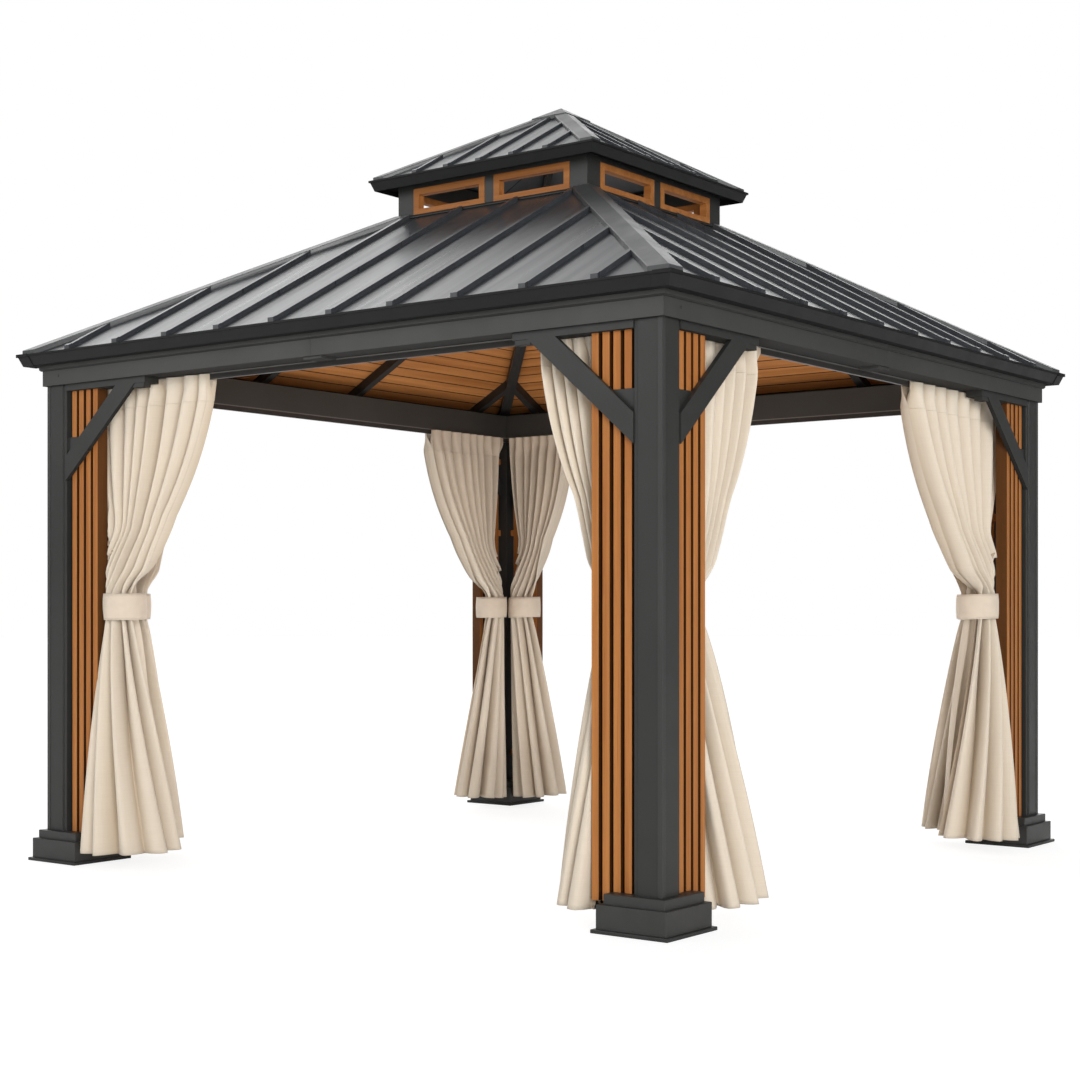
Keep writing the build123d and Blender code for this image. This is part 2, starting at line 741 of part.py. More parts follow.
def tie_band(waist):
    """The band round a curtain's waist, at the right end of the front face."""
    u, r, radius = waist
    inner = radius * (1 + TIE_PLEAT) + TIE_GAP
    hoop = Cylinder(inner + TIE_T, TIE_HIGH - TIE_LOW) - Cylinder(inner, TALL)
    return Pos(u, -r, (TIE_HIGH + TIE_LOW) / 2) * hoop


def build():
    """Write every node."""
    save(all_round(foot_plate()), "foot_plates")
    save(all_round(base_cover()), "base_covers")
    for quarter, corner in enumerate(CORNERS):
        save(turned(post(), quarter), f"post_{corner}")
        save(both_faces(wing(), quarter), f"slat_wings_{corner}")
        save(both_faces(rails_and_brace(), quarter), f"braces_{corner}")
    for quarter, side in enumerate(SIDES):
        save(turned(beam(), quarter), f"beam_{side}")
        save(turned(gutter(), quarter), f"gutter_{side}")
        save(turned(main_roof(), quarter), f"roof_{side}")
        save(turned(ceiling(), quarter), f"ceiling_{side}")
    save(all_round(gutter_corner()), "gutter_corners")
    hip_cap = hip_band(roof_z, COLLAR_R + RIB_TOP_GAP, EAVE_R, HIP_HALF, 0, RIB_H + HIP_T)
    save(all_round(hip_cap), "hip_caps")
    save(all_round(hip_rafter()), "hip_rafters")
    save(rafters(), "rafters")
    save(collar(), "roof_collar")
    save(cupola_sill(), "cupola_sill")
    save(cupola_posts(), "cupola_posts")
    save(cupola_head(), "cupola_head")
    save(cupola_rafters(), "cupola_rafters")
    save(all_round(cupola_window()) + all_round(mirrored(cupola_window())), "cupola_windows")
    save(cupola_eave(), "cupola_eave")
    save(all_round(cupola_roof()), "cupola_roof")
    cupola_hip_cap = hip_band(
        cupola_z, APEX_CAP_R + APEX_GAP, CUPOLA_EAVE_R, CUPOLA_HIP_HALF, 0, CUPOLA_RIB_H + HIP_T
    )
    save(all_round(cupola_hip_cap), "cupola_hip_caps")
    save(apex_cap(), "apex_cap")
    save(all_round(curtain_track()), "curtain_tracks")
    ties = []
    for quarter, (right_end, left_end) in enumerate(FACE_ENDS):
        save(turned(curtain(*CURTAINS[right_end]), quarter), f"curtain_{right_end}")
        save(turned(mirrored(curtain(*CURTAINS[left_end])), quarter), f"curtain_{left_end}")
        ties.append(turned(tie_band(CURTAINS[right_end][1]), quarter))
        ties.append(turned(mirrored(tie_band(CURTAINS[left_end][1])), quarter))
    save(ties, "curtain_ties")


build()
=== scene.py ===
"""Looks of the metal gazebo: finishes, hung curtains with their ties, light and camera.

Metres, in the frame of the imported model: +Z is up, -Y is the front and +X the right side. Along a
face, u is the distance from the face's middle and r the distance out from the centre of the plan.
"""
import math
import random

import bpy
import numpy as np
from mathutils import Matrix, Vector


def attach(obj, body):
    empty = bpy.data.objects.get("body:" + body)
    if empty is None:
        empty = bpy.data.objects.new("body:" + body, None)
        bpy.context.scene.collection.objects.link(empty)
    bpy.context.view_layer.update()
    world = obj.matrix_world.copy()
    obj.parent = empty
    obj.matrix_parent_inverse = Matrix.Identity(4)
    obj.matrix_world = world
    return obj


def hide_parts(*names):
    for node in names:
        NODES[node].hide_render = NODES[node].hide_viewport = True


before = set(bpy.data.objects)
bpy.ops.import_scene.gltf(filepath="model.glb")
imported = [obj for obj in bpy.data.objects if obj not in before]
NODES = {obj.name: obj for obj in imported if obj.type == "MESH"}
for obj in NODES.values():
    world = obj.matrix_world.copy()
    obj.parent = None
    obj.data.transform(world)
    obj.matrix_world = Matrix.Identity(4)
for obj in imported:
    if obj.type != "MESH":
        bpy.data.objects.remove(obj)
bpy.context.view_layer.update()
BODY = "root"

# Camera, solved on the photograph: it stands 1 m up, level, and looks at the front right corner.
CAMERA_PLACE = (4.5538, -6.1549, 1.0)
CAMERA_TURN = math.radians(37.154)
CAMERA_LENS_MM = 61.36
SENSOR_MM = 36.0
CAMERA_SHIFT_Y = 0.0647

# Studio light: an even level all round, and brighter banks as direction, inner and outer
# half angle in degrees, and added strength. Shiny surfaces see a share of it.
AMBIENT = 0.40
GLOSSY_SHARE = 0.36
LIGHT_BANKS = [
    ((-0.80, 0.40, 0.40), 8.0, 30.0, 5.2),
    ((-0.36, 0.89, 0.28), 10.0, 24.0, 5.4),
]
KEY_WATTS = 2080.0
FILL_WATTS = 150.0
LIFT_WATTS = 14.0

# Heights and places that the curtains share with the solids
POST_OUTER = 1.4687
BEAM_OUTER = 1.4838
POST_CORNERS = [
    ("front_right", 1, -1), ("back_right", 1, 1), ("back_left", -1, 1), ("front_left", -1, -1),
]
EDGE_ROUND = 0.0018
STRIP_LEG = 0.017
STRIP_THICK = 0.0022
SCREW_U = -1.385
SCREW_Z = 1.93
WING_INNER_R = 1.3987
WING_OUTER_R = 1.4487
WING_END_U = 1.1898
FOOT_EDGE = 1.2382
FOOT_TOP = 0.121
BEAM_BOTTOM = 1.8936
TRACK_BOTTOM = 1.8696
TRACK_R = 1.369
HEADER_OUTER_U = 1.333
TIE_LOW = 0.962
TIE_HIGH = 1.065
HEM_Z = 0.045

# Cloth, as cut: one panel is half a side wide with its seams, and as long as the opening is high
CLOTH_WIDTH = 1.40
CLOTH_LENGTH = 1.93
POCKET_TOP = 1.889
POCKET_SEAM = 1.79
HEM_DEPTH = 0.042
SIDE_HEM = 0.022
THREAD_PITCH = 0.0016
FOLDS = 8
COLUMNS_PER_FOLD = 20
ROW_STEP = 0.018
CLEAR = 0.005
HEADER_HALF_R = 0.012
GATHER_LENGTH = 0.12
FOLD_DEPTH = 0.046
PULL_TOP = 1.87
# how far the cloth goes round its middle, in radians, towards the post and towards its free edge
WAIST_TURNS = (3.1, 1.4)
HEM_TURNS = (2.7, 2.1)
FOOT_SLOPE_HEIGHT = 0.30
FOOT_SLOPE = 0.35
WING_SLOPE = 2.5
CREST_SHARPNESS = 1.2
FOLD_UNEVEN = 0.36
FOLD_LEAN = 0.13
GATHER_RIPPLE = 0.0035
EDGE_CALM = 0.7
CLOTH_HALF_GAP = 0.0095
TRACK_SQUEEZE = 0.6
TRACK_SHIFT = 0.0175
BACK_SHIFT = 0.001
BAND_GAP = 0.0045
BAND_LAP = 0.0032
BAND_LAP_TURN = 0.35
BAND_CLOTH = 0.0022

# face (quarter turns from the front), at its left end, header's free end u,
# waist u, r and radius, hem u, r and radius, and the side its middle bulges to (1 is outwards)
CURTAINS = {
    "front_right_end": (0, False, 0.930, (1.220, 1.310, 0.076), (1.168, 1.335, 0.165), 1),
    "front_left_end": (0, True, 0.626, (1.098, 1.388, 0.076), (1.084, 1.350, 0.212), 1),
    "right_back_end": (1, False, 0.400, (1.036, 1.388, 0.076), (1.038, 1.350, 0.212), 1),
    "right_front_end": (1, True, 0.725, (1.126, 1.310, 0.074), (1.015, 1.362, 0.185), 1),
    "back_left_end": (2, False, 0.955, (1.203, 1.310, 0.076), (1.114, 1.330, 0.145), -1),
    "back_right_end": (2, True, 0.891, (1.255, 1.305, 0.072), (1.130, 1.290, 0.128), -1),
    "left_front_end": (3, False, 0.700, (1.175, 1.312, 0.070), (1.060, 1.310, 0.132), -1),
    "left_back_end": (3, True, 0.750, (1.173, 1.310, 0.072), (1.090, 1.330, 0.155), -1),
}


class Graph:
    """A material's nodes, with short calls to add and join them."""

    def __init__(self, name):
        self.material = bpy.data.materials.new(name)
        self.material.use_nodes = True
        self.tree = self.material.node_tree
        self.shader = self.tree.nodes["Principled BSDF"]
        self.output = self.tree.nodes["Material Output"]

    def add(self, kind, settings=None, **inputs):
        """A node of that kind, with its properties, and its inputs as values or sockets by name."""
        node = self.tree.nodes.new("ShaderNode" + kind)
        for key, value in (settings or {}).items():
            setattr(node, key, value)
        for key, value in inputs.items():
            self.feed(node.inputs[key.replace("_", " ")], value)
        return node

    def feed(self, socket, value):
        """Joins a socket to the input, or sets the input to a value."""
        is_list = isinstance(value, (tuple, list))
        if isinstance(value, bpy.types.NodeSocket):
            self.tree.links.new(value, socket)
        elif is_list and len(value) == 3 and len(socket.default_value) == 4:
            socket.default_value = (*value, 1)
        else:
            socket.default_value = value

    def math(self, operation, a, b=0.0):
        node = self.tree.nodes.new("ShaderNodeMath")
        node.operation = operation
        self.feed(node.inputs[0], a)
        self.feed(node.inputs[1], b)
        return node.outputs[0]

    def mix(self, share, a, b):
        """A colour between a and b."""
        node = self.tree.nodes.new("ShaderNodeMix")
        node.data_type = "RGBA"
        self.feed(node.inputs[0], share)
        self.feed(node.inputs[6], a)
        self.feed(node.inputs[7], b)
        return node.outputs[2]

    def place(self, scale=(1, 1, 1)):
        """Positions in the row frame, stretched by a scale along each axis."""
        coordinates = self.add("TexCoord").outputs["Object"]
        return self.add("Mapping", Vector=coordinates, Scale=scale).outputs["Vector"]

    def noise(self, at, scale, detail=3.0, roughness=0.5):
        node = self.add("TexNoise", Vector=at, Scale=scale, Detail=detail, Roughness=roughness)
        return node.outputs["Fac"]

    def span(self, value, low, high, to_low=0.0, to_high=1.0):
        """The value, moved from one range to another and held within it."""
        node = self.add("MapRange", Value=value)
        for number, bound in enumerate((low, high, to_low, to_high), start=1):
            node.inputs[number].default_value = bound
        return node.outputs[0]

    def bump(self, height, distance, strength=1.0, under=None):
        node = self.add("Bump", Height=height, Distance=distance, Strength=strength)
        if under is not None:
            self.feed(node.inputs["Normal"], under)
        return node.outputs["Normal"]

    def surface(self, **inputs):
        for key, value in inputs.items():
            self.feed(self.shader.inputs[key.replace("_", " ")], value)


def powder_coat(name, colour, roughness, under=1.0, gloss=0.5):
    """Satin powder coat: a fine orange peel, faint cloudiness, and a little dust low down.

    Faces that look down are matt, and keep only the share of the colour that under gives: painted
    shade under things.
    """
    g = Graph(name)
    at = g.place()
    facing = g.add("SeparateXYZ", Vector=g.add("NewGeometry").outputs["Normal"]).outputs["Z"]
    # painted shade: faces that look down are darkened to the share of the colour that under gives
    shaded_underside = g.span(facing, -0.8, -0.4, 1.0, 0.0)
    clouds = g.noise(at, 2.3, 4.0)
    tone = g.mix(g.span(clouds, 0.3, 0.7), [c * 0.9 for c in colour], [c * 1.12 for c in colour])
    height = g.add("SeparateXYZ", Vector=at).outputs["Z"]
    dust = g.math("MULTIPLY", g.span(height, 0.25, 0.0), g.span(g.noise(at, 14.0, 5.0), 0.35, 0.75))
    dusty = [c * 0.8 + 0.03 for c in colour]
    coated = g.mix(g.math("MULTIPLY", dust, 0.35), tone, dusty)
    blotches = g.noise(at, 9.0, 5.0)
    g.surface(
        Base_Color=g.mix(shaded_underside, coated, [c * under for c in colour]),
        Roughness=g.math(
            "MAXIMUM", shaded_underside, g.span(blotches, 0.3, 0.7, roughness - 0.04, roughness + 0.06)
        ),
        Specular_IOR_Level=gloss,
        Normal=g.bump(g.noise(at, 420.0, 2.0), 0.0003, 0.35),
    )
    return g.material


def roof_metal(name, colour, roughness):
    """Coated roof sheet with faint drawn streaks down the slope and a slow waviness."""
    g = Graph(name)
    normal = g.add("SeparateXYZ", Vector=g.add("NewGeometry").outputs["Normal"])
    sideways = g.math(
        "GREATER_THAN",
        g.math("ABSOLUTE", normal.outputs["X"]),
        g.math("ABSOLUTE", normal.outputs["Y"]),
    )
    down_front = g.noise(g.place((22.0, 0.7, 0.7)), 1.0, 3.0, 0.5)
    down_side = g.noise(g.place((0.7, 22.0, 0.7)), 1.0, 3.0, 0.5)
    streak = g.add("Mix", {"data_type": "FLOAT"})
    g.feed(streak.inputs[0], sideways)
    g.feed(streak.inputs[2], down_front)
    g.feed(streak.inputs[3], down_side)
    streaks = streak.outputs[0]
    waves = g.noise(g.place(), 3.2, 2.0)
    g.surface(
        Base_Color=g.mix(
            g.span(streaks, 0.3, 0.7), [c * 0.88 for c in colour], [c * 1.15 for c in colour]
        ),
        Roughness=g.span(streaks, 0.25, 0.75, roughness - 0.05, roughness + 0.07),
        Specular_IOR_Level=0.5,
        Normal=g.bump(waves, 0.002, 0.25, under=g.bump(streaks, 0.0002, 0.12)),
    )
    return g.material


def wood(name, along, dark, light, boards=None, shaded_sides=None):
    """Printed wood grain that runs along one axis.

    boards is (axis, pitch, start, joint) for planks. shaded_sides is the distance out from the
    middle of the plan past which faces that look along the wing are darkened as painted shade.
    """
    g = Graph(name)
    stretch = [34.0, 34.0, 34.0]
    stretch["XYZ".index(along)] = 0.9
    fine = [260.0, 260.0, 260.0]
    fine["XYZ".index(along)] = 5.0
    at = g.place(stretch)
    bend = g.noise(at, 0.55, 2.0)
    grain = g.noise(at, 1.0, 7.0, 0.62)
    pores = g.noise(g.place(fine), 1.0, 3.0, 0.7)
    share = g.math("ADD", g.span(grain, 0.28, 0.74), g.math("MULTIPLY", bend, 0.35))
    share = g.math("SUBTRACT", share, 0.17)
    if boards:
        axis, pitch, start, joint = boards
        place = g.add("SeparateXYZ", Vector=g.place()).outputs[axis]
        steps = g.math("DIVIDE", g.math("SUBTRACT", g.math("ABSOLUTE", place), start), pitch)
        board = g.add("TexWhiteNoise", {"noise_dimensions": "1D"}, W=g.math("FLOOR", steps))
        lift = g.math("MULTIPLY", g.math("SUBTRACT", board.outputs["Value"], 0.5), 0.38)
        share = g.math("ADD", share, lift)
    colour = g.mix(share, dark, light)
    colour = g.mix(g.span(pores, 0.56, 0.74, 0.0, 0.45), colour, [c * 0.45 for c in dark])
    if shaded_sides:
        # painted shade: faces that look along a wing are darkened towards the dark grain colour
        colour = g.mix(side_mask(g, shaded_sides), colour, [c * 0.15 for c in dark])
    relief = g.math("ADD", grain, g.math("MULTIPLY", pores, 0.4))
    if boards:
        edge = g.math("PINGPONG", steps, 0.5)
        gap = g.span(edge, joint / pitch * 0.25, joint / pitch * 0.5, 1.0, 0.0)
        colour = g.mix(gap, colour, (0.012, 0.006, 0.003))
    g.surface(
        Base_Color=colour,
        Roughness=g.span(grain, 0.3, 0.7, 0.42, 0.56),
        Specular_IOR_Level=0.22,
        Normal=g.bump(relief, 0.0006, 0.4),
    )
    return g.material


def side_mask(g, reach):
    """Where a wing's faces look along it, for painted shade: most on the slats' sides, less on the
    wing's end.
    """
    place = g.add("SeparateXYZ", Vector=g.place()).outputs
    normal = g.add("SeparateXYZ", Vector=g.add("NewGeometry").outputs["Normal"]).outputs
    mask = 0.0
    for across, along in (("X", "Y"), ("Y", "X")):
        in_wing = g.math("GREATER_THAN", g.math("ABSOLUTE", place[across]), reach)
        sideways = g.math("GREATER_THAN", g.math("ABSOLUTE", normal[along]), 0.8)
        mask = g.math("MAXIMUM", mask, g.math("MULTIPLY", in_wing, sideways))
    apart = g.math("MINIMUM", g.math("ABSOLUTE", place["X"]), g.math("ABSOLUTE", place["Y"]))
    between = g.math("GREATER_THAN", apart, WING_END_U + 0.004)
    return g.math("MULTIPLY", mask, g.math("ADD", 0.84, g.math("MULTIPLY", between, 0.14)))


def track_metal(name):
    """Dark anodised rail with a paler lip under the beam: the paler lip is a painted highlight."""
    g = Graph(name)
    at = g.place()
    height = g.add("SeparateXYZ", Vector=at).outputs["Z"]
    # painted highlight: the lip under the beam is coloured paler
    lip = g.math("GREATER_THAN", height, BEAM_BOTTOM - 0.0045)
    drawn = g.noise(g.place((3.0, 3.0, 900.0)), 1.0, 3.0)
    dark = g.mix(drawn, (0.022, 0.02, 0.018), (0.034, 0.031, 0.028))
    g.surface(
        Base_Color=g.mix(lip, dark, (0.16, 0.15, 0.14)),
        Roughness=g.span(drawn, 0.3, 0.7, 0.34, 0.46),
        Normal=g.bump(drawn, 0.0001, 0.3),
    )
    return g.material


def woven(g, across, up):
    """Height of a plain weave, from the place on the cut in metres."""
    warp = g.math("SINE", g.math("MULTIPLY", across, 2 * math.pi / THREAD_PITCH))
    weft = g.math("SINE", g.math("MULTIPLY", up, 2 * math.pi / THREAD_PITCH))
    return g.math("MULTIPLY", warp, weft)


def cloth(name, colour, sheer):
    """Plain woven polyester, a little see-through, with sewn hems laid out on the cut's UV map."""
    g = Graph(name)
    uv = g.add("UVMap", {"uv_map": "cut"}).outputs["UV"]
    across, up = (g.add("SeparateXYZ", Vector=uv).outputs[i] for i in (0, 1))
    weave = woven(g, across, up)
    slub_up = g.noise(g.add("Mapping", Vector=uv, Scale=(420, 9, 1)).outputs["Vector"], 1.0, 2.0)
    slub_over = g.noise(g.add("Mapping", Vector=uv, Scale=(9, 420, 1)).outputs["Vector"], 1.0, 2.0)
    slubs = g.math("MULTIPLY", g.math("ADD", slub_up, slub_over), 0.5)
    clouds = g.noise(uv, 3.0, 3.0)
    tone = g.math("ADD", g.math("MULTIPLY", slubs, 0.7), g.math("MULTIPLY", clouds, 0.3))
    seams = hems(g, across, up)
    pale = [min(1, c * 1.05) for c in colour]
    plain = g.mix(g.span(tone, 0.3, 0.7), [c * 0.93 for c in colour], pale)
    # painted shade: the cloth is darker and warmer the deeper it lies in a crease
    crease = g.add("Attribute", {"attribute_name": "crease"}).outputs["Fac"]
    painted_crease_shade = [colour[0] * 0.70, colour[1] * 0.63, colour[2] * 0.55]
    plain = g.mix(g.math("MULTIPLY", crease, 0.85), plain, painted_crease_shade)
    thread = [c * 0.55 for c in colour]
    colour_socket = g.mix(g.math("MULTIPLY", seams["stitch"], 0.15), plain, thread)
    normal = g.bump(weave, 0.0002, 0.25, under=g.bump(seams["height"], 0.001, 0.8))
    g.surface(
        Base_Color=colour_socket,
        Roughness=0.85,
        Specular_IOR_Level=0.2,
        Sheen_Weight=0.15,
        Sheen_Roughness=0.5,
        Normal=normal,
    )
    through = g.add("BsdfTranslucent", Color=colour_socket, Normal=normal)
    mixed = g.add("MixShader")
    denser_seam = g.math("MULTIPLY", seams["double"], sheer * 0.45)
    g.feed(mixed.inputs[0], g.math("SUBTRACT", sheer, denser_seam))
    g.feed(mixed.inputs[1], g.shader.outputs[0])
    g.feed(mixed.inputs[2], through.outputs[0])
    g.feed(g.output.inputs["Surface"], mixed.outputs[0])
    return g.material


def hems(g, across, up):
    """Masks for doubled cloth, stitches and relief, from the place on the cut in metres."""
    def inside(distance, depth):
        return g.math("LESS_THAN", distance, depth)

    def line(distance, depth):
        near = g.math("ABSOLUTE", g.math("SUBTRACT", distance, depth))
        return g.span(near, 0.0006, 0.0016, 1.0, 0.0)

    far_side = g.math("SUBTRACT", CLOTH_WIDTH, across)
    pocket = g.math("SUBTRACT", CLOTH_LENGTH, up)
    edges = [
        (across, SIDE_HEM), (far_side, SIDE_HEM), (up, HEM_DEPTH),
        (pocket, POCKET_TOP - POCKET_SEAM),
    ]
    double = inside(*edges[0])
    stitch = line(*edges[0])
    for distance, depth in edges[1:]:
        double = g.math("MAXIMUM", double, inside(distance, depth))
        stitch = g.math("MAXIMUM", stitch, line(distance, depth))
    height = g.math("SUBTRACT", double, stitch)
    return {"double": double, "stitch": stitch, "height": height}


def dress(prefixes, material):
    """Gives the material to every CAD node whose name starts with one of the prefixes."""
    for name, node in NODES.items():
        if name.startswith(tuple(prefixes)):
            node.data.materials.clear()
            node.data.materials.append(material)


def soften_edges(prefixes, width):
    """Rounds the sharp edges of those nodes by the width, as folded sheet and coated tube are."""
    for name, node in NODES.items():
        if not name.startswith(tuple(prefixes)):
            continue
        weld = node.modifiers.new("weld", "WELD")
        weld.merge_threshold = 1e-5
        bevel = node.modifiers.new("soft_edges", "BEVEL")
        bevel.width = width
        bevel.segments = 2
        bevel.limit_method = "ANGLE"
        bevel.angle_limit = math.radians(35)
        bevel.harden_normals = False
        bevel.use_clamp_overlap = True


def smoothstep(t):
    t = np.clip(t, 0, 1)
    return t * t * (3 - 2 * t)


def to_row_frame(quarter, mirrored, u, r, z):
    """Points of a face, turned from the front to that side, as an array of x, y, z."""
    x = -u if mirrored else u
    y = -r
    angle = quarter * math.pi / 2
    c, s = round(math.cos(angle)), round(math.sin(angle))
    return np.stack([c * x - s * y, s * x + c * y, z], axis=-1)


def soft_random(seed, points, spacing):
    """Smooth noise in -1..1 along the points, with a random value every spacing."""
    draw = random.Random(seed)
    knots = int(np.max(points) / spacing) + 3
    values = np.array([draw.uniform(-1, 1) for _ in range(knots)])
    place = np.maximum(points, 0) / spacing
    low = place.astype(int)
    share = smoothstep(place - low)
    return values[low] * (1 - share) + values[low + 1] * share


def push_out(u, r, centre_u, centre_r, min_u, min_r):
    """Draws the points that are past both min_u and min_r towards the centre until they are not."""
    inside = (u > min_u) & (r > min_r)
    back_u = (min_u - centre_u) / np.where(inside, u - centre_u, 1)
    back_r = (min_r - centre_r) / np.where(inside, r - centre_r, 1)
    share = np.where(inside, np.clip(np.maximum(back_u, back_r), 0, 1), 1)
    return centre_u + (u - centre_u) * share, centre_r + (r - centre_r) * share


def section_at(z, header_end, waist, hem):
    """The cloth's section at a height: middle u and r, half width, half depth and two turns.

    The turns say how far the cloth goes round its middle each way: nothing at the header, and
    nearly all the way where it is tied and below.
    """
    half_header = (HEADER_OUTER_U - header_end) / 2
    header = np.array(
        [HEADER_OUTER_U - half_header, TRACK_R, half_header, HEADER_HALF_R, 0.01, 0.01]
    )
    tied = np.array([*waist, waist[2], *WAIST_TURNS])
    spread = np.array([*hem, hem[2], *HEM_TURNS])
    if z >= TIE_LOW:
        t = np.clip((PULL_TOP - z) / (PULL_TOP - TIE_HIGH), 0, 1)
        pulled = 0.84 * t ** 1.25 + 0.16 * smoothstep((t - 0.87) / 0.13)
        values = header + (tied - header) * pulled
        values[1] = header[1] + (tied[1] - header[1]) * t ** 3
        values[3] = header[3] + (tied[3] - header[3]) * t ** 1.6
        values[4:] = header[4:] + (tied[4:] - header[4:]) * smoothstep(t) ** 2.2
        return values
    t = (TIE_LOW - z) / (TIE_LOW - HEM_Z)
    return tied + (spread - tied) * t ** 0.82


def arc_places(half_u, half_r, turns, count):
    """Angles at even distances along an elliptic arc, and the arc's length."""
    angles = np.linspace(turns[0], -turns[1], 241)
    steps = np.hypot(half_u * np.diff(np.sin(angles)), half_r * np.diff(np.cos(angles)))
    along = np.concatenate([[0], np.cumsum(steps)])
    return np.interp(np.linspace(0, along[-1], count), along, angles), along[-1]


def section_points(name, z, squeeze=1.0, inward=0.0):
    """One row of the cloth from the post to the free edge: u, r and how deep in a crease."""
    _, _, header_end, waist, hem, bulge = CURTAINS[name]
    seed = sorted(CURTAINS).index(name) * 100
    middle_u, middle_r, half_u, half_r, *turns = section_at(z, header_end, waist, hem)
    reach_post, reach_free = (math.sin(min(turn, math.pi / 2)) for turn in turns)
    wrap = sum(turns) / 2
    count = FOLDS * COLUMNS_PER_FOLD + 1
    depth = 0.024
    deepest = min(FOLD_DEPTH, (half_u - 0.008) / 2.15)
    for _ in range(5):
        round_u = 2 * (half_u - depth * min(1.0, wrap)) / (reach_post + reach_free)
        round_r = max(half_r - depth * min(1.0, wrap), 0.004)
        angle, length = arc_places(round_u, round_r, turns, count)
        fullness = CLOTH_WIDTH / length
        depth = min(length / FOLDS / 4 * math.sqrt(max(fullness ** 2 - 1, 0.05)), deepest)
    share = np.linspace(0, FOLDS, count)
    wander = soft_random(seed, share, 2.3) * 0.38
    wander = wander + soft_random(seed + 1, share + z * 0.8, 2.7) * 0.16
    lean = FOLD_LEAN * soft_random(seed + 3, share, 1.7)
    phase = share + wander
    phase = phase + lean * np.sin(2 * math.pi * phase)
    wave = 2 * np.abs(np.sin(math.pi * phase)) ** CREST_SHARPNESS - 1.2
    uneven = 1 + FOLD_UNEVEN * soft_random(seed + 2, share + 0.9 * (2 - z), 1.0)
    gather = smoothstep((z - POCKET_TOP + GATHER_LENGTH) / GATHER_LENGTH)
    fine = np.cos(2 * math.pi * (2.0 * phase + 0.25)) * GATHER_RIPPLE * gather
    fold = (wave * depth * uneven * (1 - 0.3 * gather) + fine) * squeeze - inward
    crease = np.clip((0.5 - wave) / 1.7, 0, 1) ** 1.3
    pulled = math.sin(math.pi * np.clip((PULL_TOP - z) / (PULL_TOP - TIE_LOW), 0, 1)) ** 0.5
    fold = fold * (1 - EDGE_CALM * pulled * (1 - smoothstep(share / 0.9)))
    sine, cosine = np.sin(angle), np.cos(angle)
    lift = round_r * min(1, 1 - math.cos(wrap))
    middle_u = middle_u - round_u * (reach_post - reach_free) / 2
    across = sine * round_r / np.hypot(sine * round_r, cosine * round_u)
    outward = cosine * round_u / np.hypot(sine * round_r, cosine * round_u)
    u = middle_u + round_u * sine + fold * across
    r = middle_r + bulge * (lift + round_r * (cosine - 1) + fold * outward)
    u, r = clear_of_wing(u, r, z, middle_u, middle_r)
    return u, r, crease


def clear_of_wing(u, r, z, middle_u, middle_r):
    """Keeps a row of cloth off the slats, and at the bottom off the base cover."""
    wing_u, wing_r = WING_END_U - CLEAR, WING_INNER_R - CLEAR
    if z > TIE_LOW:
        return u, np.minimum(r, wing_r + WING_SLOPE * np.maximum(wing_u - u, 0))
    in_front = (middle_r > TRACK_R - 0.03) & (r > WING_OUTER_R + CLEAR)
    aside_u, aside_r = push_out(u, r, middle_u, min(middle_r, wing_r - 0.02), wing_u, wing_r)
    u = np.where(in_front, u, aside_u)
    r = np.where(in_front, r, aside_r)
    if z < FOOT_TOP + FOOT_SLOPE_HEIGHT:
        edge = FOOT_EDGE - CLEAR + max(z - FOOT_TOP - 0.01, 0) * FOOT_SLOPE
        u, r = push_out(u, r, min(middle_u, edge - 0.02), min(middle_r, edge - 0.02), edge, edge)
    return u, r


def grid_faces(rows, columns, first):
    """Quads between neighbouring rows of points, counted from the first point."""
    faces = []
    for row in range(rows - 1):
        for column in range(columns - 1):
            a = first + row * columns + column
            faces.append((a, a + 1, a + columns + 1, a + columns))
    return faces


def mesh_piece(name, points, faces, uvs, material):
    """A mesh object with a UV map named cut, smooth, in the scene."""
    mesh = bpy.data.meshes.new(name)
    mesh.from_pydata([tuple(p) for p in points], [], faces)
    layer = mesh.uv_layers.new(name="cut")
    order = np.empty(len(mesh.loops), int)
    mesh.loops.foreach_get("vertex_index", order)
    layer.data.foreach_set("uv", np.asarray(uvs, float)[order].ravel())
    mesh.polygons.foreach_set("use_smooth", [True] * len(mesh.polygons))
    mesh.materials.append(material)
    piece = bpy.data.objects.new(name, mesh)
    bpy.context.scene.collection.objects.link(piece)
    return piece


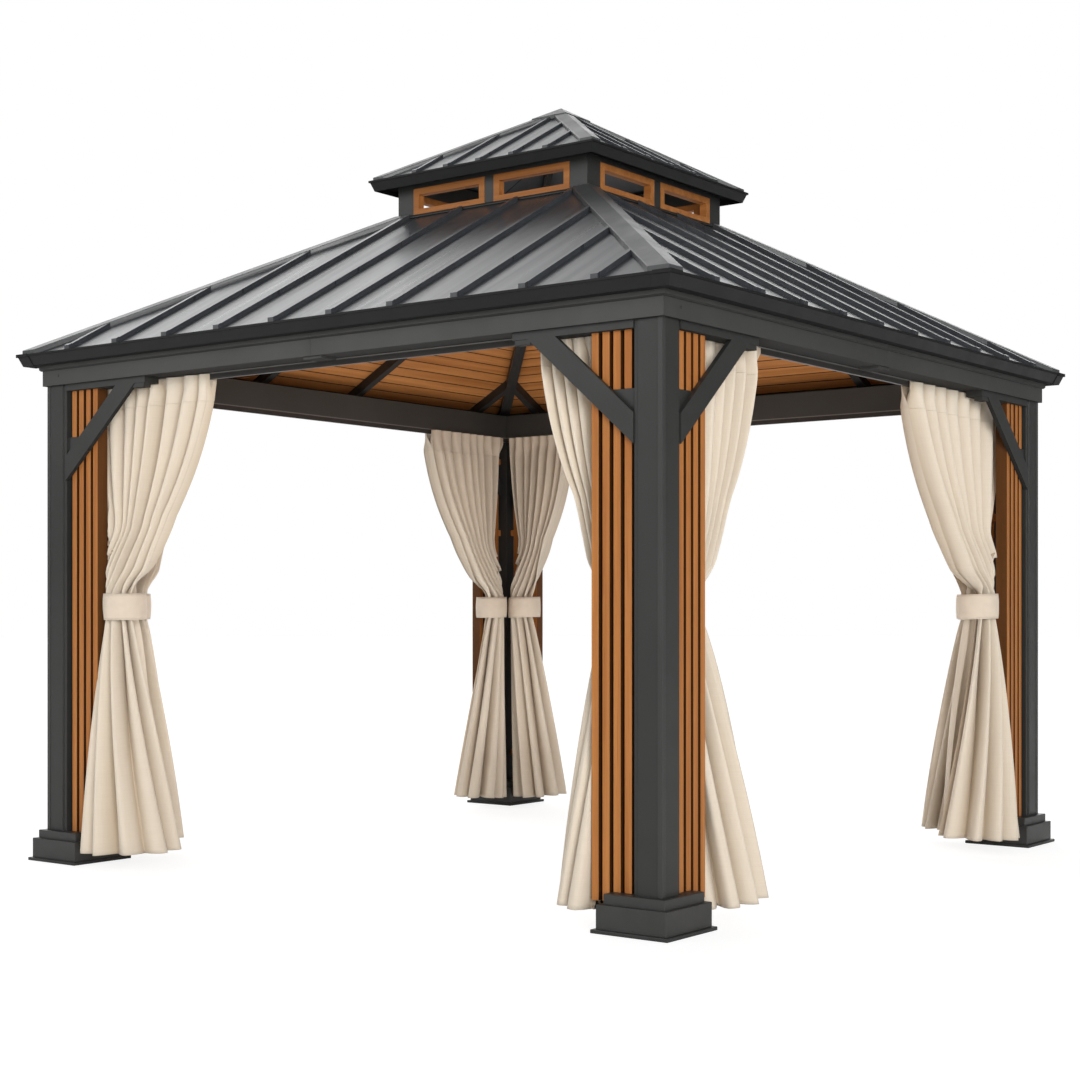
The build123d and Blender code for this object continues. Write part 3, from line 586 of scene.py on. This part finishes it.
def hang_curtain(name, material):
    """One panel: the pocket's front, cloth, skirt and turned-up hem, and the pocket's back."""
    quarter, mirrored = CURTAINS[name][:2]
    seed = sorted(CURTAINS).index(name)
    columns = FOLDS * COLUMNS_PER_FOLD + 1
    across = np.linspace(0, CLOTH_WIDTH, columns)
    share = np.linspace(0, 1, columns)
    ripple = soft_random(seed + 50, share * FOLDS, 1.4) * 0.004
    hem_rise = 0.018 * share ** 2 + ripple + 0.004
    points, uvs, faces, creases = [], [], [], []

    def strip(rows, side):
        first = len(points)
        for z, inward, squeeze, shift_r, along in rows:
            u, r, crease = section_points(name, z, squeeze, inward)
            if z > TRACK_BOTTOM - 0.012:
                r = side * np.maximum(side * r, side * (TRACK_R - shift_r) + CLOTH_HALF_GAP)
            creases.extend(crease)
            low = smoothstep((TIE_LOW - z) / (TIE_LOW - HEM_Z))
            height = z + hem_rise * low
            points.extend(to_row_frame(quarter, mirrored, u, r + shift_r, height))
            uvs.extend(np.stack([across, np.full(columns, along)], axis=-1))
        faces.extend(grid_faces(len(rows), columns, first))

    main = []
    count = round((POCKET_TOP - HEM_Z) / ROW_STEP)
    for number in range(count + 1):
        z = POCKET_TOP + (HEM_Z - POCKET_TOP) * number / count
        round_track = smoothstep((z - POCKET_SEAM) / (TRACK_BOTTOM - 0.008 - POCKET_SEAM))
        squeeze = 1 - TRACK_SQUEEZE * round_track
        along = CLOTH_LENGTH - (POCKET_TOP - z)
        main.append((z, 0.0, squeeze, TRACK_SHIFT * round_track, along))
    for number in range(4):
        z = HEM_Z + HEM_DEPTH * number / 3
        main.append((z, 0.0022, 1.0, 0.0, CLOTH_LENGTH - (POCKET_TOP - HEM_Z)))
    strip(main, 1)
    back = []
    for number in range(7):
        z = POCKET_SEAM + (POCKET_TOP - POCKET_SEAM) * number / 6
        round_track = smoothstep((z - POCKET_SEAM) / (TRACK_BOTTOM - 0.008 - POCKET_SEAM))
        squeeze = 1 - TRACK_SQUEEZE * round_track
        shift_r = -BACK_SHIFT - (TRACK_SHIFT - BACK_SHIFT) * round_track
        back.append((z, 0.0, squeeze, shift_r, CLOTH_LENGTH))
    strip(back, -1)
    piece = mesh_piece("cloth_" + name, points, faces, uvs, material)
    layer = piece.data.attributes.new("crease", "FLOAT", "POINT")
    layer.data.foreach_set("value", np.asarray(creases, float))
    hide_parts("curtain_" + name)
    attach(piece, BODY)
    return piece


def tie_band(name, material):
    """A strip of cloth closed round the curtain's waist, its end lapped at the back."""
    quarter, mirrored, _, waist, _, bulge = CURTAINS[name]
    seed = sorted(CURTAINS).index(name) * 10 + 7
    middle_u, middle_r, radius = waist
    turns = np.linspace(0, 2 * math.pi + BAND_LAP_TURN, 97)
    rows = 9
    points, uvs = [], []
    for row in range(rows):
        share = row / (rows - 1)
        z = TIE_LOW + (TIE_HIGH - TIE_LOW) * share
        belly = 0.0016 * math.sin(math.pi * share) - 0.0012 * abs(2 * share - 1) ** 3
        wobble = soft_random(seed, turns * 3 + share * 1.7, 1.3) * 0.0016
        lap = BAND_LAP * turns / turns[-1]
        reach = radius + BAND_GAP + belly + wobble + lap
        u = middle_u + reach * np.sin(turns + math.pi)
        r = middle_r + bulge * reach * np.cos(turns + math.pi)
        sway = 0.0022 * np.sin(turns + seed)
        points.extend(to_row_frame(quarter, mirrored, u, r, np.full(len(turns), z) + sway))
        up = np.full(len(turns), share * (TIE_HIGH - TIE_LOW))
        uvs.extend(np.stack([turns * radius, up], axis=-1))
    faces = grid_faces(rows, len(turns), 0)
    piece = mesh_piece("tie_" + name, points, faces, uvs, material)
    thick = piece.modifiers.new("doubled", "SOLIDIFY")
    thick.thickness = BAND_CLOTH
    thick.offset = 0
    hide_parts("curtain_ties")
    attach(piece, BODY)
    return piece


def band_cloth(name, colour):
    """The tie's doubled cloth: opaque, with a row of stitches near each edge."""
    g = Graph(name)
    uv = g.add("UVMap", {"uv_map": "cut"}).outputs["UV"]
    across, up = (g.add("SeparateXYZ", Vector=uv).outputs[i] for i in (0, 1))
    middle = (TIE_HIGH - TIE_LOW) / 2
    from_edge = g.math("SUBTRACT", middle, g.math("ABSOLUTE", g.math("SUBTRACT", up, middle)))
    near = g.math("ABSOLUTE", g.math("SUBTRACT", from_edge, 0.006))
    along_seam = g.math("SINE", g.math("MULTIPLY", across, 2 * math.pi / 0.004))
    dashes = g.math("GREATER_THAN", along_seam, -0.3)
    stitch = g.math("MULTIPLY", g.span(near, 0.0004, 0.001, 1.0, 0.0), dashes)
    clouds = g.noise(uv, 22.0, 4.0)
    plain = g.mix(g.span(clouds, 0.3, 0.7), [c * 0.95 for c in colour], [c * 1.04 for c in colour])
    weave = g.bump(woven(g, across, up), 0.0002, 0.25)
    g.surface(
        Base_Color=g.mix(g.math("MULTIPLY", stitch, 0.4), plain, [c * 0.6 for c in colour]),
        Roughness=0.85,
        Specular_IOR_Level=0.2,
        Sheen_Weight=0.15,
        Normal=g.bump(g.math("SUBTRACT", 1.0, stitch), 0.0008, 0.8, under=weave),
    )
    return g.material


def finish_solids():
    """Materials and softened edges for the CAD nodes."""
    # under darkens the faces that look down: painted shade under the posts, feet and beams
    coat = powder_coat("charcoal_coat", (0.024, 0.0245, 0.023), 0.40, under=0.4)
    feet = powder_coat("base_coat", (0.034, 0.0345, 0.033), 0.42, under=0.4)
    beams = powder_coat("beam_coat", (0.042, 0.042, 0.039), 0.42, under=0.15)
    gutter = powder_coat("gutter_coat", (0.009, 0.0092, 0.0092), 0.48, gloss=0.25)
    # painted shade: the rafters under the roof take a darker coat than the frame
    inside = powder_coat("shade_coat", (0.020, 0.018, 0.016), 0.45)
    sheet = roof_metal("roof_sheet_coat", (0.040, 0.043, 0.048), 0.30)
    trim = powder_coat("roof_trim_coat", (0.060, 0.062, 0.064), 0.36)
    upright = wood(
        "slat_grain", "Z", (0.30, 0.098, 0.020), (0.50, 0.205, 0.058),
        shaded_sides=WING_INNER_R - CLEAR,
    )
    frames = wood("window_grain", "X", (0.26, 0.09, 0.02), (0.42, 0.17, 0.05))
    board_dark, board_light = (0.34, 0.12, 0.028), (0.60, 0.255, 0.08)
    board_rows = (0.056, 0.478, 0.007)
    along_x = wood("ceiling_grain_x", "X", board_dark, board_light, ("Y", *board_rows))
    along_y = wood("ceiling_grain_y", "Y", board_dark, board_light, ("X", *board_rows))
    dress(["post_", "braces_", "foot_plates", "cupola_posts", "cupola_sill",
           "cupola_head", "roof_collar"], coat)
    dress(["base_covers"], feet)
    dress(["beam_"], beams)
    dress(["gutter_", "cupola_eave"], gutter)
    dress(["rafters", "hip_rafters", "cupola_rafters"], inside)
    dress(["roof_front", "roof_right", "roof_back", "roof_left", "cupola_roof"], sheet)
    dress(["hip_caps", "cupola_hip_caps", "apex_cap"], trim)
    dress(["slat_wings_"], upright)
    dress(["cupola_windows"], frames)
    dress(["ceiling_front", "ceiling_back"], along_x)
    dress(["ceiling_left", "ceiling_right"], along_y)
    dress(["curtain_tracks"], track_metal("track_anodised"))
    soften_edges(
        ["post_", "braces_", "base_covers", "foot_plates", "slat_wings_", "gutter_corners",
         "hip_caps", "cupola_hip_caps", "apex_cap", "cupola_posts"],
        EDGE_ROUND,
    )
    return coat, feet


def solid_piece(name, points, faces, material):
    """A closed mesh that rides with the frame, with its sharp edges softened."""
    mesh = bpy.data.meshes.new(name)
    mesh.from_pydata([tuple(p) for p in points], [], faces)
    mesh.validate()
    mesh.materials.append(material)
    piece = bpy.data.objects.new(name, mesh)
    bpy.context.scene.collection.objects.link(piece)
    bevel = piece.modifiers.new("soft_edges", "BEVEL")
    bevel.width = 0.0009
    bevel.segments = 2
    bevel.angle_limit = math.radians(35)
    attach(piece, BODY)
    return piece


def corner_strips(material):
    """An angle strip down each post's outer corner, from the base cover to the beam."""
    leg, thick = STRIP_LEG, STRIP_THICK
    outer, inner = POST_OUTER + thick, POST_OUTER - 0.001
    profile = [
        (outer, outer), (outer - leg, outer), (outer - leg, inner),
        (inner, inner), (inner, outer - leg), (outer, outer - leg),
    ]
    count = len(profile)
    sides = [(i, (i + 1) % count, (i + 1) % count + count, i + count) for i in range(count)]
    ends = [(0, 3, 2, 1), (0, 5, 4, 3), (6, 7, 8, 9), (6, 9, 10, 11)]
    for name, x, y in POST_CORNERS:
        points = [(x * a, y * b, z) for z in (FOOT_TOP, BEAM_BOTTOM) for a, b in profile]
        faces = sides + ends
        if x * y < 0:
            faces = [tuple(reversed(face)) for face in faces]
        solid_piece("corner_strip_" + name, points, faces, material)


def screw_heads(material):
    """A low round screw head near the left end of each beam."""
    sides = 20
    rings = [(0.0052, 0.0), (0.0052, 0.0012), (0.0036, 0.0024)]
    for quarter, name in enumerate(("front", "right", "back", "left")):
        points = []
        for radius, reach in rings:
            turns = np.linspace(0, 2 * math.pi, sides, endpoint=False)
            u = SCREW_U + radius * np.cos(turns)
            z = SCREW_Z + radius * np.sin(turns)
            r = np.full(sides, BEAM_OUTER - 0.0003 + reach)
            points.extend(to_row_frame(quarter, False, u, r, z))
        faces = [
            (ring * sides + i, ring * sides + (i + 1) % sides,
             (ring + 1) * sides + (i + 1) % sides, (ring + 1) * sides + i)
            for ring in range(2) for i in range(sides)
        ]
        faces.append(tuple(range(2 * sides, 3 * sides)))
        faces.append(tuple(reversed(range(sides))))
        solid_piece("beam_screw_" + name, points, faces, material)


def hang_cloth():
    """The eight curtains and their ties."""
    beige = (0.74, 0.65, 0.53)
    panel = cloth("curtain_weave", beige, 0.08)
    band = band_cloth("tie_weave", (0.66, 0.56, 0.45))
    for name in CURTAINS:
        piece = hang_curtain(name, panel)
        tie_band(name, band)


def pale_stage():
    """A floor that lights and shadows like pale paper, and looks nearly white to the camera."""
    bpy.ops.mesh.primitive_circle_add(
        vertices=96, radius=60, fill_type="NGON", location=(0, 0, -0.0005)
    )
    floor = bpy.context.object
    floor.name = "floor"
    g = Graph("pale_floor")
    g.surface(Base_Color=(0.80, 0.80, 0.80), Roughness=0.9, Specular_IOR_Level=0.1)
    glow = g.add("Emission", Color=(1.0, 1.0, 1.0), Strength=0.84)
    shadowed = g.add("BsdfDiffuse", Color=(0.27, 0.27, 0.27))
    seen = g.add("AddShader")
    g.feed(seen.inputs[0], glow.outputs[0])
    g.feed(seen.inputs[1], shadowed.outputs[0])
    chosen = g.add("MixShader")
    g.feed(chosen.inputs[0], g.add("LightPath").outputs["Is Camera Ray"])
    g.feed(chosen.inputs[1], g.shader.outputs[0])
    g.feed(chosen.inputs[2], seen.outputs[0])
    g.feed(g.output.inputs["Surface"], chosen.outputs[0])
    floor.data.materials.append(g.material)


def studio_world():
    """Even pale light, and brighter banks that the roof mirrors; the camera sees plain white."""
    world = bpy.data.worlds.new("studio")
    bpy.context.scene.world = world
    world.use_nodes = True
    tree = world.node_tree
    tree.nodes.clear()

    def math_node(operation, a, b):
        node = tree.nodes.new("ShaderNodeMath")
        node.operation = operation
        for socket, value in zip(node.inputs, (a, b)):
            if isinstance(value, bpy.types.NodeSocket):
                tree.links.new(value, socket)
            else:
                socket.default_value = value
        return node.outputs[0]

    direction = tree.nodes.new("ShaderNodeTexCoord").outputs["Generated"]
    path = tree.nodes.new("ShaderNodeLightPath")
    strength = AMBIENT
    for toward, inner, outer, extra in LIGHT_BANKS:
        facing = tree.nodes.new("ShaderNodeVectorMath")
        facing.operation = "DOT_PRODUCT"
        tree.links.new(direction, facing.inputs[0])
        facing.inputs[1].default_value = Vector(toward).normalized()
        edge = tree.nodes.new("ShaderNodeMapRange")
        edge.interpolation_type = "SMOOTHSTEP"
        tree.links.new(facing.outputs["Value"], edge.inputs["Value"])
        edge.inputs["From Min"].default_value = math.cos(math.radians(outer))
        edge.inputs["From Max"].default_value = math.cos(math.radians(inner))
        edge.inputs["To Max"].default_value = extra
        strength = math_node("ADD", strength, edge.outputs[0])
    dimmed = math_node("MULTIPLY", path.outputs["Is Glossy Ray"], 1 - GLOSSY_SHARE)
    dimmed = math_node("SUBTRACT", 1.0, dimmed)
    strength = math_node("MULTIPLY", strength, dimmed)
    plain = tree.nodes.new("ShaderNodeBackground")
    tree.links.new(strength, plain.inputs["Strength"])
    white = tree.nodes.new("ShaderNodeBackground")
    white.inputs["Color"].default_value = (1, 1, 1, 1)
    plain.inputs["Color"].default_value = (1, 1, 1, 1)
    seen = math_node("MAXIMUM", path.outputs["Is Camera Ray"], path.outputs["Is Transmission Ray"])
    mixed = tree.nodes.new("ShaderNodeMixShader")
    tree.links.new(seen, mixed.inputs[0])
    tree.links.new(plain.outputs[0], mixed.inputs[1])
    tree.links.new(white.outputs[0], mixed.inputs[2])
    output = tree.nodes.new("ShaderNodeOutputWorld")
    tree.links.new(mixed.outputs[0], output.inputs["Surface"])


def soft_lamp(name, place, target, size, power):
    """A square area lamp at a place, turned to a target."""
    lamp = bpy.data.lights.new(name, "AREA")
    lamp.shape = "SQUARE"
    lamp.size = size
    lamp.energy = power
    holder = bpy.data.objects.new(name, lamp)
    bpy.context.scene.collection.objects.link(holder)
    holder.location = place
    toward = Vector(target) - Vector(place)
    holder.rotation_mode = "QUATERNION"
    holder.rotation_quaternion = toward.to_track_quat("-Z", "Y")
    holder.visible_camera = False


def studio():
    """Stage, world and lamps: key by the camera, fill from the left, lift for the ceiling."""
    pale_stage()
    studio_world()
    middle = (0, 0, 1.3)
    soft_lamp("key", (12.9, -11.5, 3.1), middle, 7.2, KEY_WATTS)
    soft_lamp("fill", (-5.5, -8.0, 5.0), middle, 5.0, FILL_WATTS)
    soft_lamp("lift", (0, 0, 0.25), (0, 0, 3), 2.0, LIFT_WATTS)
    scene = bpy.context.scene
    scene.view_settings.view_transform = "Standard"


def photo_camera():
    """The camera of the photograph."""
    camera = bpy.data.cameras.new("photo_camera")
    camera.sensor_width = SENSOR_MM
    camera.lens = CAMERA_LENS_MM
    camera.shift_y = CAMERA_SHIFT_Y
    camera.clip_end = 200
    holder = bpy.data.objects.new("photo_camera", camera)
    bpy.context.scene.collection.objects.link(holder)
    holder.location = CAMERA_PLACE
    holder.rotation_euler = (math.pi / 2, 0, CAMERA_TURN)
    bpy.context.scene.camera = holder


coat, base_coat = finish_solids()
# the corner strips take the paler base coat: a painted highlight along each post's corner
corner_strips(base_coat)
screw_heads(coat)
hang_cloth()
studio()
photo_camera()
